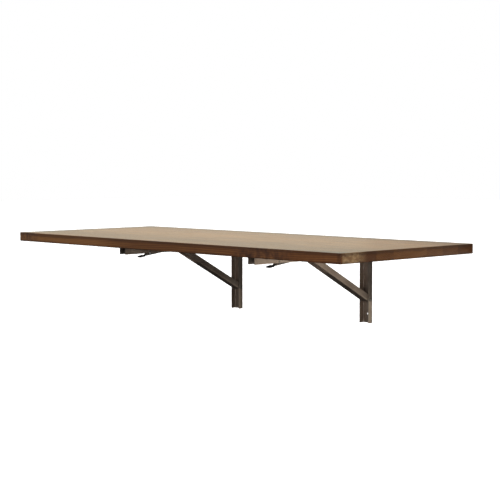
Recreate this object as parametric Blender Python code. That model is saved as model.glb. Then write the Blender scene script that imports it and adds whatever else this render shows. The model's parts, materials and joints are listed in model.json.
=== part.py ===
"""Wall mounted folding workbench: a wooden worktop on two folding steel brackets.

Units are metres. +X runs along the wall, -Y comes forward from the wall and +Z is up. The origin is on the
wall, midway between the brackets, level with the top of the worktop. Outlines are written with u, the
distance forward from the wall, in place of -Y.
"""
import math

import bmesh
import bpy
import numpy as np
from mathutils import Vector

# Worktop
WORKTOP_WIDTH = 1.524
WORKTOP_DEPTH = 0.6096
WORKTOP_THICK = 0.031
WORKTOP_EASE = 0.002
WORKTOP_WALL_GAP = 0.035

# Brackets
BRACKET_SPACING = 0.6196
ARM_WIDTH = 0.029
ARM_HEIGHT = 0.0308
ARM_SHEET = 0.002
ARM_REACH = 0.545
ARM_TAIL = 0.014
BRACE_SHEET = 0.002
BRACE_BACK = 0.0085
BRACE_RISE = 0.012
BRACE_ANGLE = math.radians(28.4)
BRACE_FORK = 0.080
EAR_RADIUS = 0.009
WALL_SHEET = 0.0025
WALL_DEPTH = 0.021
WALL_BOTTOM = 0.2856
HINGE_EAR_RADIUS = 0.010
HINGE_EAR_LENGTH = 0.046
BEND = 0.0035
CORNER = 0.003

# Axes of the joints, from the wall and below the worktop
HINGE_REACH = 0.033
HINGE_DROP = 0.014
PIVOT_REACH = 0.0115
PIVOT_DROP = 0.1612
SLOT_RISE = 0.002

# Pins, rivets, washers and screws
PIN_RADIUS = 0.004
HEAD_RADIUS = 0.0072
HEAD_HEIGHT = 0.0026
WASHER_RADIUS = 0.0085
SCREW_RADIUS = 0.0023
SCREW_LENGTH = 0.022
SCREW_HEAD_RADIUS = 0.0046
SCREW_HEAD_HEIGHT = 0.0026
SCREW_POINT = 0.006
SCREW_SETBACK = 0.040
SCREW_PLACES = (0.075, 0.190, 0.330, ARM_REACH - SCREW_SETBACK)
WALL_SCREW_RADIUS = 0.003
WALL_SCREW_PLACES = (0.070, 0.256)

# Release lever with its grip, rivet and spring
LEVER_WIDTH = 0.014
LEVER_SHEET = 0.003
LEVER_DROP = 0.0112
LEVER_BEND = 0.008
LEVER_TIP = 0.0284
LEVER_DIP = math.radians(2.5)
LEVER_EYE = 0.0055
LEVER_FOOT = 0.003
LEVER_SETBACK = 0.1072
LEVER_RIVET_RADIUS = 0.003
LEVER_RIVET_EDGE = 0.005
LATCH_PLAY = 0.0055
LATCH_CLEARANCE = 0.0008
GRIP_LENGTH = 0.0195
GRIP_WALL = 0.0012
WIRE_RADIUS = 0.0005
WIRE_GAP = 0.0005
SPRING_TURNS = 2
SPRING_LEG = 0.012
SPRING_REACH = 0.0135
SPRING_PLAY = 0.0016

# Clearances: between pieces at rest on each other, between nested channels, and in a slot
GAP = 0.0003
NEST = 0.0004
SWING = 0.0005
ROUND = 18

# Levels and places that follow from the sizes above
UNDERSIDE = -WORKTOP_THICK
ARM_TOP = UNDERSIDE - GAP
ARM_BOTTOM = ARM_TOP - ARM_HEIGHT
ARM_INNER = ARM_WIDTH / 2 - ARM_SHEET
HINGE_Z = UNDERSIDE - HINGE_DROP
SLOT_Z = HINGE_Z + SLOT_RISE
PIVOT_Z = HINGE_Z - PIVOT_DROP
BRACE_INNER = ARM_WIDTH / 2 + NEST
BRACE_WIDTH = 2 * (BRACE_INNER + BRACE_SHEET)
WALL_INNER = BRACE_WIDTH / 2 + SWING
WALL_WIDTH = 2 * (WALL_INNER + WALL_SHEET)

# The pin must lie on the slot both when the arm is level and when everything hangs down
EAR_OFFSET = HINGE_REACH + SLOT_RISE - PIVOT_REACH
BRACE_REACH = (SLOT_Z - PIVOT_Z - EAR_OFFSET * math.cos(BRACE_ANGLE)) / math.sin(BRACE_ANGLE)
PIN_OPEN = PIVOT_REACH + BRACE_REACH * math.cos(BRACE_ANGLE) - EAR_OFFSET * math.sin(BRACE_ANGLE)
PIN_FOLDED = HINGE_REACH + PIVOT_DROP + BRACE_REACH

# The lever slopes so that its rear end comes up just below the path of the slide pin
LEVER_U = ARM_REACH - LEVER_SETBACK
LEVER_Z = ARM_BOTTOM + LEVER_RIVET_EDGE
LEVER_TOP = LEVER_SHEET / 2 - LEVER_DROP
LEVER_BACK = LEVER_U - PIN_OPEN - PIN_RADIUS - LATCH_PLAY
LEVER_RISE = SLOT_Z - PIN_RADIUS - LATCH_CLEARANCE - LEVER_Z - LEVER_TOP
LEVER_SLOPE = math.asin(LEVER_RISE / LEVER_BACK)
COIL_RADIUS = LEVER_RIVET_RADIUS + GAP + WIRE_RADIUS

# The arm of the spring leaves the coil straight towards its rest over the lever's bar
BAR_Z = LEVER_TOP / math.cos(LEVER_SLOPE) - SPRING_REACH * math.tan(LEVER_SLOPE)
BENT_FALL = max(SPRING_REACH + 2 * WIRE_RADIUS - LEVER_BEND, 0) * math.tan(LEVER_DIP)
REST_Z = BAR_Z - BENT_FALL + SPRING_PLAY + WIRE_RADIUS
SPRING_EXIT = math.atan2(REST_Z, SPRING_REACH) + math.acos(COIL_RADIUS / math.hypot(SPRING_REACH, REST_Z))


# Materials
def material(name, colour, metallic, roughness):
    made = bpy.data.materials.new(name)
    made.use_nodes = True
    shader = made.node_tree.nodes["Principled BSDF"]
    shader.inputs["Base Color"].default_value = (*colour, 1)
    shader.inputs["Metallic"].default_value = metallic
    shader.inputs["Roughness"].default_value = roughness
    return made


# Outlines
def arc(centre, radius, start, stop, steps=8):
    """Points of an arc, from start to stop in degrees, ends included."""
    angles = np.radians(np.linspace(start, stop, steps + 1))
    return [(centre[0] + radius * math.cos(a), centre[1] + radius * math.sin(a)) for a in angles]


def channel_section(width, sheet, depth):
    """Bent channel: across the width and up from the outer face of the web."""
    right = arc((width / 2 - BEND, BEND), BEND, 270, 360, 3)
    inside = arc((width / 2 - BEND, BEND), BEND - sheet, 360, 270, 3)
    half = right + [(width / 2, depth), (width / 2 - sheet, depth)] + inside
    return half + [(-x, h) for x, h in reversed(half)]


# Solids
def new_object(name, bm, parent=None, look=None):
    """Object from a closed bmesh, which is used up. Without a look it is a cutter."""
    bmesh.ops.recalc_face_normals(bm, faces=bm.faces)
    mesh = bpy.data.meshes.new(name)
    bm.to_mesh(mesh)
    bm.free()
    made = bpy.data.objects.new(name, mesh)
    bpy.context.scene.collection.objects.link(made)
    made.parent = parent
    if look is None:
        made.hide_render = True
        made.display_type = "WIRE"
    else:
        mesh.materials.append(look)
    return made


def shade_round(made):
    made.data.shade_smooth()
    made.data.set_sharp_from_angle(angle=math.radians(35))


def loft(rings, bm, closed=False):
    """Skin over equal rings of points, with both ends filled or joined to each other."""
    rows = [[bm.verts.new(point) for point in ring] for ring in rings]
    pairs = list(zip(rows, rows[1:]))
    if closed:
        pairs.append((rows[-1], rows[0]))
    for low, high in pairs:
        for i in range(len(low)):
            j = (i + 1) % len(low)
            bm.faces.new((low[i], low[j], high[j], high[i]))
    if not closed:
        bm.faces.new(rows[0])
        bm.faces.new(rows[-1])
    return bm


def prism(outline, low, high, axis, bm=None):
    """Closed prism: an outline in (u, z), (x, z) or (x, u), run along x, u or z."""
    place = {
        "x": lambda p, q, r: Vector((r, -p, q)),
        "u": lambda p, q, r: Vector((p, -r, q)),
        "z": lambda p, q, r: Vector((p, -q, r)),
    }[axis]
    rings = [[place(p, q, r) for p, q in outline] for r in (low, high)]
    return loft(rings, bm or bmesh.new())


def turned(profile, axis, centre=(0, 0), closed=False, bm=None):
    """Turned solid: (place along the axis, radius) pairs turned about x or z, centred at (u, z) or (x, u)."""
    rings = []
    for place, radius in profile:
        ring = arc(centre, radius, 0, 360 - 360 / ROUND, ROUND - 1)
        rings.append([(place, -p, q) if axis == "x" else (p, -q, place) for p, q in ring])
    return loft(rings, bm or bmesh.new(), closed)


def boolean(made, cutter, operation):
    step = made.modifiers.new(cutter.name, "BOOLEAN")
    step.operation = operation
    step.object = cutter
    step.solver = "EXACT"


def bent_channel(name, section, low, high, axis, side, holes, parent, look):
    """Channel cut to its side outline, with its holes made by one cutter."""
    made = new_object(name, prism(section, low, high, axis), parent, look)
    outline = new_object(name + "_outline", prism(side, -WALL_WIDTH, WALL_WIDTH, "x"), parent)
    boolean(made, outline, "INTERSECT")
    boolean(made, new_object(name + "_holes", holes, parent), "DIFFERENCE")
    shade_round(made)
    return made


def cross_hole(radius, u, z, bm):
    return turned([(-WALL_WIDTH, radius), (WALL_WIDTH, radius)], "x", (u, z), bm=bm)


def dome(start, radius, height, side):
    """Profile of a rivet head that stands out from start."""
    return [(start + side * height * s, radius * c) for s, c in ((0, 1), (0.45, 0.94), (0.8, 0.72), (1, 0.35))]


def rivet(name, grip, radius, head, parent, look):
    """Rivet along x with a domed head at both ends, over a grip from -grip to grip."""
    seat = grip + GAP
    left = dome(-seat, head, HEAD_HEIGHT, -1)
    right = dome(seat, head, HEAD_HEIGHT, 1)
    made = new_object(name, turned(left[::-1] + [(-seat, radius), (seat, radius)] + right, "x"), parent, look)
    shade_round(made)
    return made


def empty(name, location, parent=None, tilt=0.0):
    made = bpy.data.objects.new(name, None)
    made.location = location
    made.rotation_euler.x = tilt
    made.parent = parent
    bpy.context.scene.collection.objects.link(made)
    return made


# Pieces of a bracket that stay on the wall
def wall_channel(side, parent, look):
    hinge = (HINGE_REACH, HINGE_Z)
    top = HINGE_Z + HINGE_EAR_RADIUS
    foot = -WALL_BOTTOM
    outline = [(-BEND, foot), (WALL_DEPTH - CORNER, foot)]
    outline += arc((WALL_DEPTH - CORNER, foot + CORNER), CORNER, 270, 360, 3)[1:]
    outline += [(WALL_DEPTH, top - HINGE_EAR_LENGTH)]
    outline += arc(hinge, HINGE_EAR_RADIUS, -40, 90, 10)
    outline += [(-BEND, top)]
    section = channel_section(WALL_WIDTH, WALL_SHEET, HINGE_REACH + 2 * HINGE_EAR_RADIUS)
    holes = cross_hole(PIN_RADIUS + GAP, *hinge, bmesh.new())
    holes = cross_hole(PIN_RADIUS + GAP, PIVOT_REACH, PIVOT_Z, holes)
    for drop in WALL_SCREW_PLACES:
        ring = arc((0, -drop), WALL_SCREW_RADIUS, 0, 360 - 360 / ROUND, ROUND - 1)
        holes = prism(ring, -WALL_SHEET, 2 * WALL_SHEET, "u", holes)
    ends = (foot - BEND, top + BEND)
    return bent_channel(side + "_wall_channel", section, *ends, "z", outline, holes, parent, look)


def hinge_washer(name, place, parent, look):
    thick = WALL_INNER - ARM_WIDTH / 2 - 2 * GAP
    bore = PIN_RADIUS + GAP
    loop = [(-thick / 2, bore), (-thick / 2, WASHER_RADIUS), (thick / 2, WASHER_RADIUS), (thick / 2, bore)]
    made = new_object(name, turned(loop, "x", closed=True), parent, look)
    made.location = (place * (WALL_INNER + ARM_WIDTH / 2) / 2, -HINGE_REACH, HINGE_Z)
    shade_round(made)
    return made


# Pieces of a bracket that fold with the worktop, drawn about the hinge axis
def from_hinge(u, z):
    return u - HINGE_REACH, z - HINGE_Z


def arm(side, parent, look):
    top = ARM_TOP - HINGE_Z
    bottom = ARM_BOTTOM - HINGE_Z
    front = ARM_REACH - HINGE_REACH
    outline = [(-ARM_TAIL, top + BEND), (-ARM_TAIL, bottom + CORNER)]
    outline += arc((CORNER - ARM_TAIL, bottom + CORNER), CORNER, 180, 270, 3)[1:]
    outline += arc((front - CORNER, bottom + CORNER), CORNER, 270, 360, 3)
    outline += [(front, top + BEND)]
    section = [(x, top - h) for x, h in channel_section(ARM_WIDTH, ARM_SHEET, 2 * ARM_HEIGHT)]
    slot = PIN_RADIUS + GAP
    slot_ends = arc(from_hinge(PIN_OPEN, SLOT_Z), slot, 90, 270, 8)
    slot_ends += arc(from_hinge(PIN_FOLDED, SLOT_Z), slot, -90, 90, 8)
    lever = from_hinge(LEVER_U, LEVER_Z)
    holes = prism(slot_ends, -ARM_WIDTH, ARM_WIDTH, "x")
    holes = cross_hole(PIN_RADIUS + GAP, 0, 0, holes)
    holes = cross_hole(LEVER_RIVET_RADIUS + GAP, *lever, holes)
    anchor = (lever[0] - SPRING_LEG, lever[1] + COIL_RADIUS)
    holes = turned([(0, 2 * WIRE_RADIUS), (ARM_WIDTH, 2 * WIRE_RADIUS)], "x", anchor, bm=holes)
    for u in SCREW_PLACES:
        hole = [(top - 2 * ARM_SHEET, SCREW_RADIUS + GAP), (top + BEND, SCREW_RADIUS + GAP)]
        holes = turned(hole, "z", (0, from_hinge(u, 0)[0]), bm=holes)
    ends = (-ARM_TAIL - BEND, front + BEND)
    return bent_channel(side + "_arm", section, *ends, "u", outline, holes, parent, look)


def top_screw(name, x, u, parent, look):
    """Pan head screw, drawn from the underside of the web up into the worktop."""
    seat = -ARM_SHEET - GAP
    head = SCREW_HEAD_HEIGHT
    profile = [(seat - head, 0.5 * SCREW_HEAD_RADIUS), (seat - 0.6 * head, 0.92 * SCREW_HEAD_RADIUS)]
    profile += [(seat, SCREW_HEAD_RADIUS), (seat, SCREW_RADIUS)]
    profile += [(seat + SCREW_LENGTH - SCREW_POINT, SCREW_RADIUS), (seat + SCREW_LENGTH, 0.2 * SCREW_RADIUS)]
    made = new_object(name, turned(profile, "z"), parent, look)
    made.location = (x, HINGE_REACH - u, ARM_TOP - HINGE_Z)
    shade_round(made)
    return made


def worktop(parent, look):
    """Board with eased edges and a pilot hole for each screw."""
    rear, low = from_hinge(WORKTOP_WALL_GAP, UNDERSIDE)
    bm = bmesh.new()
    bmesh.ops.create_cube(bm, size=1)
    bmesh.ops.scale(bm, vec=(WORKTOP_WIDTH, WORKTOP_DEPTH, WORKTOP_THICK), verts=bm.verts)
    centre = (0, -rear - WORKTOP_DEPTH / 2, low + WORKTOP_THICK / 2)
    bmesh.ops.translate(bm, vec=centre, verts=bm.verts)
    made = new_object("worktop", bm, parent, look)
    ease = made.modifiers.new("eased edges", "BEVEL")
    ease.width = WORKTOP_EASE
    ease.segments = 2
    pilot = SCREW_RADIUS + GAP
    depth = SCREW_LENGTH - ARM_SHEET
    holes = bmesh.new()
    for x in (-BRACKET_SPACING / 2, BRACKET_SPACING / 2):
        for u in SCREW_PLACES:
            place = (x, from_hinge(u, 0)[0])
            holes = turned([(low - BEND, pilot), (low + depth, pilot)], "z", place, bm=holes)
    boolean(made, new_object("worktop_holes", holes, parent), "DIFFERENCE")
    return made


def lever_rivet(name, parent, look):
    """Countersunk rivet that ends flush with the outer faces of the arm."""
    half = ARM_WIDTH / 2
    profile = [(-half, LEVER_RIVET_RADIUS), (half, LEVER_RIVET_RADIUS)]
    made = new_object(name, turned(profile, "x"), parent, look)
    shade_round(made)
    return made


def release_lever(side, parent, look):
    """Flat bar hung from an eye, with its front end bent down. Drawn about the rivet with the bar level."""
    low = LEVER_TOP - LEVER_SHEET
    ahead = (math.cos(LEVER_DIP), -math.sin(LEVER_DIP))
    tip = (LEVER_BEND + LEVER_TIP * ahead[0], low + LEVER_TIP * ahead[1])
    crease = LEVER_BEND + LEVER_SHEET * math.tan(LEVER_DIP / 2)
    outline = [(-LEVER_BACK, low), (LEVER_BEND, low), tip]
    outline += [(tip[0] - LEVER_SHEET * ahead[1], tip[1] + LEVER_SHEET * ahead[0]), (crease, LEVER_TOP)]
    outline += arc((0, 0), LEVER_EYE, 0, 180, 10)
    outline += [(-LEVER_EYE - LEVER_FOOT, LEVER_TOP), (-LEVER_BACK, LEVER_TOP)]
    bar = prism(outline, -LEVER_WIDTH / 2, LEVER_WIDTH / 2, "x")
    made = new_object(side + "_release_lever", bar, parent, look)
    hole = cross_hole(LEVER_RIVET_RADIUS + GAP, 0, 0, bmesh.new())
    boolean(made, new_object(side + "_lever_hole", hole, parent), "DIFFERENCE")
    shade_round(made)
    return made


def lever_grip(side, parent, look):
    """Dipped sleeve with rounded sides over the front end of the bar, drawn from the bend along the tip."""
    middle = LEVER_SHEET / 2
    half = middle + GRIP_WALL
    flat = LEVER_WIDTH / 2
    outline = arc((flat, middle), half, -90, 90, 8) + arc((-flat, middle), half, 90, 270, 8)
    front = LEVER_TIP + GRIP_WALL
    made = new_object(side + "_lever_grip", prism(outline, front - GRIP_LENGTH, front, "u"), parent, look)
    room = [(-flat - GAP, -GAP), (flat + GAP, -GAP)]
    room += [(flat + GAP, LEVER_SHEET + GAP), (-flat - GAP, LEVER_SHEET + GAP)]
    pocket = prism(room, front - 2 * GRIP_LENGTH, LEVER_TIP + GAP, "u")
    boolean(made, new_object(side + "_grip_pocket", pocket, parent), "DIFFERENCE")
    shade_round(made)
    return made


def spring_path():
    """Middle line of the wire: anchor in the flange, coil round the rivet, arm over the bar."""
    pitch = 2 * WIRE_RADIUS + WIRE_GAP
    outer = ARM_INNER - GAP - WIRE_RADIUS
    turn = SPRING_TURNS * 2 * math.pi + math.pi / 2 - SPRING_EXIT
    points = [(ARM_WIDTH / 2 - GAP, -SPRING_LEG, COIL_RADIUS)]
    points += [(outer + 2 * WIRE_RADIUS, -SPRING_LEG, COIL_RADIUS)]
    points += [(outer, WIRE_RADIUS * 2 - SPRING_LEG, COIL_RADIUS)]
    for t in np.linspace(0, turn, 32):
        angle = math.pi / 2 - t
        x = outer - pitch * t / (2 * math.pi)
        points.append((x, COIL_RADIUS * math.cos(angle), COIL_RADIUS * math.sin(angle)))
    x = points[-1][0]
    points.append((x, SPRING_REACH, REST_Z))
    points.append((x - 2 * WIRE_RADIUS, SPRING_REACH + WIRE_RADIUS, REST_Z))
    points.append((0, SPRING_REACH + WIRE_RADIUS, REST_Z))
    return np.array([(px, -pu, pz) for px, pu, pz in points])


def least_gap(path):
    """Least clear distance between stretches of the wire that lie over half a turn apart."""
    fine = np.vstack([np.linspace(a, b, 9)[:-1] for a, b in zip(path, path[1:])])
    along = np.concatenate([[0], np.cumsum(np.linalg.norm(np.diff(fine, axis=0), axis=1))])
    apart = np.abs(along[:, None] - along[None, :]) > math.pi * COIL_RADIUS
    distance = np.linalg.norm(fine[:, None] - fine[None, :], axis=2)
    return distance[apart].min() - 2 * WIRE_RADIUS


def lever_spring(name, parent, look):
    """One unbroken wire, swept with a frame that turns as little as it can."""
    path = spring_path()
    rings = []
    across = Vector((0, 0, 1))
    for i, point in enumerate(path):
        before = path[max(i - 1, 0)]
        after = path[min(i + 1, len(path) - 1)]
        ahead = Vector(after - before).normalized()
        across = (across - ahead * across.dot(ahead)).normalized()
        other = ahead.cross(across)
        ring = arc((0, 0), WIRE_RADIUS, 0, 315, 7)
        rings.append([Vector(point) + across * p + other * q for p, q in ring])
    made = new_object(name, loft(rings, bmesh.new()), parent, look)
    made.data.shade_smooth()
    print(name, "least gap to itself", round(1000 * least_gap(path), 2), "mm")
    return made


# Pieces that swing with the brace, drawn about its pivot with the brace level
def brace(side, parent, look):
    ear = (BRACE_REACH, EAR_OFFSET)
    outline = [(0, -BRACE_BACK - BEND), (BRACE_REACH, -BRACE_BACK - BEND)]
    outline += [(BRACE_REACH, -BRACE_BACK)]
    outline += arc(ear, EAR_RADIUS, -10, 140, 10)
    outline += [(BRACE_REACH - 2 * EAR_OFFSET, BRACE_RISE), (0, BRACE_RISE)]
    outline += arc((0, 0), BRACE_BACK, 180, 270, 6)
    section = [(x, h - BRACE_BACK) for x, h in channel_section(BRACE_WIDTH, BRACE_SHEET, 2 * EAR_OFFSET)]
    holes = cross_hole(PIN_RADIUS + GAP, 0, 0, bmesh.new())
    holes = cross_hole(PIN_RADIUS + GAP, *ear, holes)
    fork = [(BRACE_REACH - BRACE_FORK, -2 * BRACE_BACK), (2 * BRACE_REACH, -2 * BRACE_BACK)]
    fork += [(2 * BRACE_REACH, BEND - BRACE_BACK), (BRACE_REACH - BRACE_FORK, BEND - BRACE_BACK)]
    holes = prism(fork, -BRACE_INNER, BRACE_INNER, "x", holes)
    ends = (-2 * BRACE_BACK, BRACE_REACH + 2 * EAR_RADIUS)
    return bent_channel(side + "_brace", section, *ends, "u", outline, holes, parent, look)


def ear_stud(name, place, parent, look):
    """Stud with a domed head outside one ear of the brace, in line with the slide pin."""
    outside = BRACE_WIDTH / 2 + GAP
    profile = [(BRACE_INNER, PIN_RADIUS), (outside, PIN_RADIUS)]
    profile += dome(outside, HEAD_RADIUS, HEAD_HEIGHT, 1)
    made = new_object(name, turned([(place * x, r) for x, r in profile], "x"), parent, look)
    made.location = (0, -BRACE_REACH, EAR_OFFSET)
    shade_round(made)
    return made


def slide_pin(name, parent, look):
    half = ARM_WIDTH / 2 + NEST / 4
    bevel = PIN_RADIUS / 8
    profile = [(-half, PIN_RADIUS - bevel), (bevel - half, PIN_RADIUS)]
    profile += [(half - bevel, PIN_RADIUS), (half, PIN_RADIUS - bevel)]
    made = new_object(name, turned(profile, "x"), parent, look)
    shade_round(made)
    return made


def bracket(side, x, leaf, looks):
    """All pieces of one bracket. Each moving group has an empty on its joint's axis."""
    steel, zinc, vinyl = looks
    wall = empty(side + "_wall_frame", (x, 0, 0))
    hinge = empty(side + "_hinge_axis", (x, -HINGE_REACH, HINGE_Z))
    pivot = empty(side + "_brace_axis", (x, -PIVOT_REACH, PIVOT_Z), tilt=-BRACE_ANGLE)
    slide = empty(side + "_slide_axis", (x, -PIN_OPEN, SLOT_Z))
    lever = empty(side + "_lever_axis", (x, -LEVER_U, LEVER_Z))
    bar = empty(side + "_lever_bar", (0, 0, 0), lever, LEVER_SLOPE)
    tip = empty(side + "_lever_tip", (0, -LEVER_BEND, LEVER_TOP - LEVER_SHEET), bar, LEVER_DIP)
    wall_channel(side, wall, steel)
    for word, place in (("outer", -1), ("inner", 1)):
        across = place if side == "left" else -place
        hinge_washer(f"{side}_hinge_washer_{word}", across, wall, zinc)
        ear_stud(f"{side}_ear_stud_{word}", across, pivot, zinc)
    rivet(side + "_hinge_rivet", WALL_WIDTH / 2, PIN_RADIUS, HEAD_RADIUS, hinge, zinc)
    arm(side, hinge, steel)
    for number, u in enumerate(SCREW_PLACES, 1):
        top_screw(f"{side}_top_screw_{number}", x, u, leaf, zinc)
    brace(side, pivot, steel)
    pivot_rivet = rivet(side + "_brace_rivet", WALL_WIDTH / 2, PIN_RADIUS, HEAD_RADIUS, wall, zinc)
    pivot_rivet.location = (0, -PIVOT_REACH, PIVOT_Z)
    slide_pin(side + "_slide_pin", slide, zinc)
    lever_rivet(side + "_lever_rivet", lever, zinc)
    lever_spring(side + "_lever_spring", lever, zinc)
    release_lever(side, bar, steel)
    lever_grip(side, tip, vinyl)


def main():
    for old in list(bpy.data.objects):
        bpy.data.objects.remove(old)
    wood = material("walnut stained wood", (0.19, 0.10, 0.055), 0.0, 0.45)
    steel = material("bronze painted steel", (0.085, 0.07, 0.06), 0.6, 0.45)
    zinc = material("zinc plated steel", (0.33, 0.31, 0.29), 0.9, 0.38)
    vinyl = material("black vinyl", (0.015, 0.015, 0.016), 0.0, 0.55)
    leaf = empty("leaf_fold_axis", (0, -HINGE_REACH, HINGE_Z))
    worktop(leaf, wood)
    for side, place in (("left", -1), ("right", 1)):
        bracket(side, place * BRACKET_SPACING / 2, leaf, (steel, zinc, vinyl))
    print("hinge", -HINGE_REACH, HINGE_Z, "brace pivot", -PIVOT_REACH, PIVOT_Z, "lever", -LEVER_U, LEVER_Z)
    print("slide pin", -PIN_OPEN, SLOT_Z, "travel", PIN_FOLDED - PIN_OPEN, "lever slope", LEVER_SLOPE)


main()
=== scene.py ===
# %% [markdown]
# A wall mounted folding workbench: a wooden worktop on two folding steel brackets. The frame that is
# loaded first holds every piece at its real size and place. This lesson makes each piece again with the
# edges, bends and finishes that the eye sees, and lets it ride on the body that it moves with.

# %% Load the frame
import json
import math
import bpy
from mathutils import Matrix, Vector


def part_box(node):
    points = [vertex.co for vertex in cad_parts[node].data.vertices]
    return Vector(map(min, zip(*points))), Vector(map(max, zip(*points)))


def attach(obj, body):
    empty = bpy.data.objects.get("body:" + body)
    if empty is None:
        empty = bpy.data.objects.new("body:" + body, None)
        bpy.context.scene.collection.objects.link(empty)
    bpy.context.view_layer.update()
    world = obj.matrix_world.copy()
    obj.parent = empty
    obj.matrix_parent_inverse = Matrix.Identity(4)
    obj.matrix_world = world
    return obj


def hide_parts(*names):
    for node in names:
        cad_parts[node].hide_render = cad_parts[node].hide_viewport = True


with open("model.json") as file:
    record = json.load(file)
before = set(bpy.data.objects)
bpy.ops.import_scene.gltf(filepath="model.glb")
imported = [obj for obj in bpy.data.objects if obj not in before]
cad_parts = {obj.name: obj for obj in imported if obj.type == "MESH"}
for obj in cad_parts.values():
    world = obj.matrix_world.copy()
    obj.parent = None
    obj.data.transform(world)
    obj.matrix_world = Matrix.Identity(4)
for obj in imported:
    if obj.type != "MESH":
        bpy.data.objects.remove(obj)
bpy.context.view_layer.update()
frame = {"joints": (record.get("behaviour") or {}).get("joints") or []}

from types import SimpleNamespace

import bmesh
import bpy
from mathutils import Matrix, Vector

# %% [markdown]
# Sizes are read from the frame wherever it knows them: a joint gives the place of its axis, and a node's
# box gives its outside. Like the solids, outlines are written with u, the distance forward from the wall,
# so a point (u, z) of an outline lies at y = -u.

# %% Places read from the frame
JOINTS = {joint["name"]: joint for joint in frame["joints"]}
SIDES = ("left", "right")


def axis_of(joint):
    """Place (u, z) of a joint's axis."""
    _, y, z = JOINTS[joint]["pos_m"]
    return -y, z


def middle_of(node):
    low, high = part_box(node)
    return (low + high) / 2


def size_of(node):
    low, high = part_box(node)
    return high - low


HINGE = axis_of("leaf_fold")
PIVOT = axis_of("left_brace_swing")
LEVER = axis_of("left_lever_press")
SIDE_X = {side: middle_of(side + "_wall_channel").x for side in SIDES}
PIN = (-middle_of("left_slide_pin").y, middle_of("left_slide_pin").z)
PIN_TRAVEL = JOINTS["left_pin_slide"]["range_m"][1]
print("hinge", HINGE, "brace pivot", PIVOT, "lever", LEVER, "slide pin", PIN)

# %% [markdown]
# The camera stands where the photograph was taken: to the right of the bench, a little above the worktop,
# with a long lens. The image's middle lies slightly off the lens axis, which is what the shift says.

# %% Camera
IMAGE_PIXELS = 500
FOCAL_PIXELS = 1335.5
LENS_AXIS_PIXEL = 266.06
SENSOR_WIDTH = 36
CAMERA_PLACE = (3.2012, -3.3743, 0.2573)
CAMERA_YAW = math.radians(44.983)
CAMERA_PITCH = math.radians(3.882)


def add_object(name, data):
    """New object in the scene."""
    made = bpy.data.objects.new(name, data)
    bpy.context.scene.collection.objects.link(made)
    return made


lens = bpy.data.cameras.new("camera")
lens.sensor_width = SENSOR_WIDTH
lens.lens = SENSOR_WIDTH * FOCAL_PIXELS / IMAGE_PIXELS
lens.shift_x = 0.5 - LENS_AXIS_PIXEL / IMAGE_PIXELS
camera = add_object("camera", lens)
camera.location = CAMERA_PLACE
camera.rotation_euler = (math.pi / 2 - CAMERA_PITCH, 0, CAMERA_YAW)
bpy.context.scene.camera = camera
print("lens", round(lens.lens, 1), "mm")

# %% [markdown]
# Light: plain soft studio light. A lamp straight overhead lights the worktop and the floor, a small one
# at the right front lights the steel below the top, and one behind shows the backs. Steel and lacquer
# mirror what faces them, so softboxes that the camera doesn't see lie in the plane of the wall. Those
# below the worktop act in reflections alone.

# %% Lights
bpy.context.scene.view_settings.view_transform = "Standard"
GREENISH = (0.90, 0.99, 0.82)
WARM = (1, 0.90, 0.78)
CREAM = (1, 0.95, 0.82)
GLOW_BACK = 0.002

# Name, low and high corners (x, z), radiance and colour of each softbox
WALL_GLOWS = (
    ("wall_above_0", (-2.6, 0.005), (0.30, 0.95), 1.42, GREENISH),
    ("wall_above_1", (0.30, 0.005), (0.46, 0.95), 1.15, GREENISH),
    ("wall_above_2", (0.46, 0.005), (0.62, 0.95), 1.02, GREENISH),
    ("wall_above_3", (0.62, 0.005), (0.90, 0.95), 0.84, GREENISH),
    ("wall_right", (0.60, -0.50), (0.95, -0.04), 2.5, WARM),
    ("wall_middle", (0.42, -0.50), (0.60, -0.12), 0.50, WARM),
    ("wall_beside", (0.362, -0.21), (0.42, -0.10), 0.42, WARM),
    ("wall_low", (0.335, -0.60), (0.60, -0.21), 0.85, CREAM),
    ("wall_left", (-0.275, -0.50), (-0.05, -0.21), 0.50, WARM),
    ("wall_far", (1.10, -0.50), (2.20, 0.35), 0.4, WARM),
)


def lamp(name, kind, place, target, power, colour=(1, 1, 1)):
    data = bpy.data.lights.new(name, kind)
    data.energy = power
    data.color = colour
    made = add_object(name, data)
    made.location = place
    made.rotation_euler = (Vector(target) - Vector(place)).to_track_quat("-Z", "Y").to_euler()
    made.visible_camera = False
    return made


def wall_glow(name, low, high, radiance, colour):
    """Softbox in the plane of the wall that is as bright as a surface of that radiance."""
    size = (high[0] - low[0], high[1] - low[1])
    x, z = (low[0] + high[0]) / 2, (low[1] + high[1]) / 2
    power = radiance * math.pi * size[0] * size[1]
    made = lamp(name, "AREA", (x, GLOW_BACK, z), (x, -1, z), power, colour)
    made.data.shape = "RECTANGLE"
    made.data.size, made.data.size_y = size
    made.visible_diffuse = low[1] > 0


overhead = lamp("overhead_lamp", "SUN", (0, 0, 3), (0, 0, 0), 1.8, (1, 0.97, 0.93))
overhead.data.angle = math.radians(20)
front_lamp = lamp("front_lamp", "AREA", (1.25, -1.15, -0.35), (0.5, 0, -0.15), 2.8, (1, 0.95, 0.92))
front_lamp.data.size = 0.5
back_lamp = lamp("back_lamp", "AREA", (-1.3, 1.6, -0.55), (-0.1, 0, -0.15), 16.0)
back_lamp.data.size = 0.6
for glow in WALL_GLOWS:
    wall_glow(*glow)

# %% [markdown]
# The sky, the finishes and the rules that set copies are node trees. Written out link by link they are
# hard to read, so one function makes a node of any tree. It takes the node's type, its settings, such as
# a ramp's stops, which are set first, and the values or links of its sockets.


# %% Nodes of a tree
def fill_ramp(ramp, stops):
    while len(ramp.elements) < len(stops):
        ramp.elements.new(1)
    for element, (place, colour) in zip(ramp.elements, stops):
        element.position = place
        element.color = (*colour, 1)


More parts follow.
